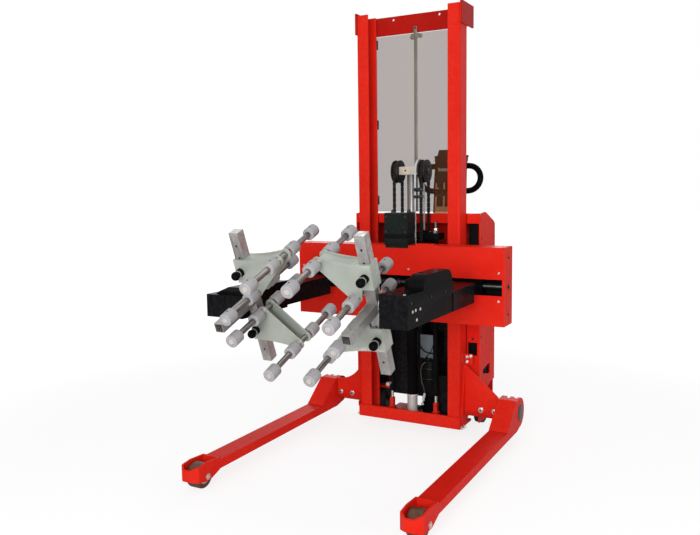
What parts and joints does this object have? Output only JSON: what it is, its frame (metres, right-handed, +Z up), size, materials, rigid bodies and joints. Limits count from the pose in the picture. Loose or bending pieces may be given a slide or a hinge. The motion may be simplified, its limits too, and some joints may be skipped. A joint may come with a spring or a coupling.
{
  "type": "drum tipper",
  "caption": "Stacker with a red mast and straddle legs; its lifting beam carries black arms that clamp and turn padded gripper heads to tip a drum.",
  "frame": {"origin": "on the floor, at the centre of the machine's footprint", "axes": "+Z up, -Y forward towards the tips of the legs, +X to the right seen from the front (the machine's own left)"},
  "size_m": [1.03, 1.8117, 1.99],
  "materials": {
    "red_paint": "gloss powder coat",
    "black_paint": "satin paint",
    "grey_plate": "satin grey coat",
    "zinc": "bright zinc",
    "rod_chrome": "ground and chromed",
    "chain_steel": "oiled dark steel",
    "pad_grey": "smooth",
    "clear_panel": "clear, slightly grey",
    "black_plastic": "moulded, fine grain",
    "red_plastic": "moulded",
    "brown_tyre": "cast polyurethane",
    "black_tyre": "solid tyre",
    "battery_case": "moulded case"
  },
  "bodies": {
    "frame": {"left_upright": "red_paint", "right_upright": "red_paint", "top_bridge": "red_paint", "base_frame": "red_paint", "lift_cylinder": "black_paint", "chain_anchor_bar": "black_paint", "guard_panel": "clear_panel", "chassis_shell": "red_paint", "battery_cover": "red_paint", "battery": "battery_case", "hydraulic_unit": "black_paint", "drive_hood": "red_paint", "frame_bolts": "zinc", "chain_rear_runs": "chain_steel"},
    "lift_head": {"crosshead": "zinc", "piston_rod": "rod_chrome", "chain_sheave_arcs": "chain_steel", "chain_front_runs": "chain_steel"},
    "left_sheave_body": {"left_sheave": "black_paint"},
    "right_sheave_body": {"right_sheave": "black_paint"},
    "carriage": {"carriage_beam": "red_paint", "mast_rollers": "chain_steel", "valve_box": "black_plastic", "guide_rods": "rod_chrome"},
    "screw": {"clamp_screw": "zinc"},
    "right_arm_body": {"right_arm": "black_paint", "right_arm_cover": "black_paint", "rotation_motor": "black_paint"},
    "left_arm_body": {"left_arm": "black_paint", "left_arm_cover": "black_paint"},
    "right_head_body": {"right_head": "grey_plate"},
    "left_head_body": {"left_head": "grey_plate"},
    "left_leg_body": {"left_leg": "red_paint"},
    "right_leg_body": {"right_leg": "red_paint"},
    "left_load_wheel_body": {"left_load_wheel": "brown_tyre"},
    "right_load_wheel_body": {"right_load_wheel": "brown_tyre"},
    "drive": {"drive_unit": "black_paint"},
    "drive_wheel_body": {"drive_wheel": "black_tyre"},
    "left_castor": {"left_castor_fork": "black_paint"},
    "right_castor": {"right_castor_fork": "black_paint"},
    "left_castor_roll": {"left_castor_wheel": "black_tyre"},
    "right_castor_roll": {"right_castor_wheel": "black_tyre"},
    "tiller": {"tiller_arm": "black_plastic", "tiller_head": "black_plastic"},
    "thumb": {"thumb_lever": "black_plastic"},
    "rocker": {"lift_rocker": "red_plastic"},
    "belly": {"belly_button": "red_plastic"},
    "stop": {"stop_button": "red_plastic"},
    "right_upper_slide": {"right_upper_slider": "grey_plate", "right_upper_pads": "pad_grey"},
    "right_upper_lock": {"right_upper_plunger": "black_plastic"},
    "right_lower_slide": {"right_lower_slider": "grey_plate", "right_lower_pads": "pad_grey"},
    "right_lower_lock": {"right_lower_plunger": "black_plastic"},
    "left_upper_slide": {"left_upper_slider": "grey_plate", "left_upper_pads": "pad_grey"},
    "left_upper_lock": {"left_upper_plunger": "black_plastic"},
    "left_lower_slide": {"left_lower_slider": "grey_plate", "left_lower_pads": "pad_grey"},
    "left_lower_lock": {"left_lower_plunger": "black_plastic"}
  },
  "joints": [
    {"name": "lift", "type": "slide", "parent": "frame", "child": "lift_head", "axis": [0, 0, 1], "range_m": [-0.21, 0.49], "deforming": ["chain_rear_runs"]},
    {"name": "carriage_lift", "type": "slide", "parent": "lift_head", "child": "carriage", "axis": [0, 0, 1], "range_m": [-0.21, 0.49], "deforming": ["chain_front_runs"]},
    {"name": "left_sheave_turn", "type": "hinge", "parent": "lift_head", "child": "left_sheave_body", "pos_m": [-0.068, 0.31835, 1.245], "axis": [1, 0, 0], "range_deg": [-640, 280]},
    {"name": "right_sheave_turn", "type": "hinge", "parent": "lift_head", "child": "right_sheave_body", "pos_m": [0.068, 0.31835, 1.245], "axis": [1, 0, 0], "range_deg": [-640, 280]},
    {"name": "right_clamp", "type": "slide", "parent": "carriage", "child": "right_arm_body", "axis": [1, 0, 0], "range_m": [-0.05, 0.088]},
    {"name": "left_clamp", "type": "slide", "parent": "carriage", "child": "left_arm_body", "axis": [1, 0, 0], "range_m": [-0.088, 0.05]},
    {"name": "screw_turn", "type": "hinge", "parent": "carriage", "child": "screw", "pos_m": [0, 0.18285, 0.74], "axis": [1, 0, 0], "range_deg": [-1810, 3180]},
    {"name": "right_tilt", "type": "hinge", "parent": "right_arm_body", "child": "right_head_body", "pos_m": [0.292, -0.58315, 0.765], "axis": [1, 0, 0], "continuous": true},
    {"name": "left_tilt", "type": "hinge", "parent": "left_arm_body", "child": "left_head_body", "pos_m": [-0.292, -0.58315, 0.765], "axis": [1, 0, 0], "continuous": true},
    {"name": "right_upper_reach", "type": "slide", "parent": "right_head_body", "child": "right_upper_slide", "axis": [0, -0.3633, 0.9317], "range_m": [0, 0.1]},
    {"name": "right_upper_pull", "type": "slide", "parent": "right_upper_slide", "child": "right_upper_lock", "axis": [0, -0.9317, -0.3633], "range_m": [0, 0.012], "stiffness_N_per_m": 1500, "springref_m": -0.004},
    {"name": "right_lower_reach", "type": "slide", "parent": "right_head_body", "child": "right_lower_slide", "axis": [0, 0.3633, -0.9317], "range_m": [0, 0.1]},
    {"name": "right_lower_pull", "type": "slide", "parent": "right_lower_slide", "child": "right_lower_lock", "axis": [0, -0.9317, -0.3633], "range_m": [0, 0.012], "stiffness_N_per_m": 1500, "springref_m": -0.004},
    {"name": "left_upper_reach", "type": "slide", "parent": "left_head_body", "child": "left_upper_slide", "axis": [0, -0.3633, 0.9317], "range_m": [0, 0.1]},
    {"name": "left_upper_pull", "type": "slide", "parent": "left_upper_slide", "child": "left_upper_lock", "axis": [0, -0.9317, -0.3633], "range_m": [0, 0.012], "stiffness_N_per_m": 1500, "springref_m": -0.004},
    {"name": "left_lower_reach", "type": "slide", "parent": "left_head_body", "child": "left_lower_slide", "axis": [0, 0.3633, -0.9317], "range_m": [0, 0.1]},
    {"name": "left_lower_pull", "type": "slide", "parent": "left_lower_slide", "child": "left_lower_lock", "axis": [0, -0.9317, -0.3633], "range_m": [0, 0.012], "stiffness_N_per_m": 1500, "springref_m": -0.004},
    {"name": "right_leg_spread", "type": "slide", "parent": "frame", "child": "right_leg_body", "axis": [1, 0, 0], "range_m": [0, 0.08]},
    {"name": "right_load_roll", "type": "hinge", "parent": "right_leg_body", "child": "right_load_wheel_body", "pos_m": [0.469, -0.70915, 0.05], "axis": [1, 0, 0], "continuous": true},
    {"name": "right_castor_swivel", "type": "hinge", "parent": "frame", "child": "right_castor", "pos_m": [0.262, 0.53285, 0.14], "axis": [0, 0, 1], "continuous": true},
    {"name": "right_castor_spin", "type": "hinge", "parent": "right_castor", "child": "right_castor_roll", "pos_m": [0.262, 0.56685, 0.062], "axis": [1, 0, 0], "continuous": true},
    {"name": "left_leg_spread", "type": "slide", "parent": "frame", "child": "left_leg_body", "axis": [-1, 0, 0], "range_m": [0, 0.08]},
    {"name": "left_load_roll", "type": "hinge", "parent": "left_leg_body", "child": "left_load_wheel_body", "pos_m": [-0.469, -0.70915, 0.05], "axis": [1, 0, 0], "continuous": true},
    {"name": "left_castor_swivel", "type": "hinge", "parent": "frame", "child": "left_castor", "pos_m": [-0.262, 0.53285, 0.14], "axis": [0, 0, 1], "continuous": true},
    {"name": "left_castor_spin", "type": "hinge", "parent": "left_castor", "child": "left_castor_roll", "pos_m": [-0.262, 0.56685, 0.062], "axis": [1, 0, 0], "continuous": true},
    {"name": "steer", "type": "hinge", "parent": "frame", "child": "drive", "pos_m": [0, 0.74085, 0.3], "axis": [0, 0, 1], "range_deg": [-90, 90]},
    {"name": "drive_roll", "type": "hinge", "parent": "drive", "child": "drive_wheel_body", "pos_m": [0, 0.74085, 0.115], "axis": [1, 0, 0], "continuous": true},
    {"name": "tiller_tilt", "type": "hinge", "parent": "drive", "child": "tiller", "pos_m": [0, 0.77085, 0.7], "axis": [-1, 0, 0], "range_deg": [0, 75], "stiffness_Nm_per_rad": 22, "springref_deg": -28.65},
    {"name": "thumb_turn", "type": "hinge", "parent": "tiller", "child": "thumb", "pos_m": [0, 0.84495, 1.30347], "axis": [1, 0, 0], "range_deg": [-15, 15], "stiffness_Nm_per_rad": 0.6},
    {"name": "rocker_tip", "type": "hinge", "parent": "tiller", "child": "rocker", "pos_m": [0, 0.84986, 1.21219], "axis": [1, 0, 0], "range_deg": [-6, 6], "stiffness_Nm_per_rad": 0.5},
    {"name": "belly_press", "type": "slide", "parent": "tiller", "child": "belly", "axis": [0, -0.9925, 0.1219], "range_m": [0, 0.006], "stiffness_N_per_m": 600, "springref_m": -0.002},
    {"name": "stop_press", "type": "slide", "parent": "frame", "child": "stop", "axis": [0, 0, -1], "range_m": [0, 0.005]}
  ],
  "couplings": [
    {"joint": "carriage_lift", "follows": "lift", "ratio": 1},
    {"joint": "left_sheave_turn", "follows": "lift", "rad_per_m": -22.222},
    {"joint": "right_sheave_turn", "follows": "lift", "rad_per_m": -22.222},
    {"joint": "left_clamp", "follows": "right_clamp", "ratio": -1},
    {"joint": "screw_turn", "follows": "right_clamp", "rad_per_m": 628.32},
    {"joint": "left_tilt", "follows": "right_tilt", "ratio": 1}
  ]
}
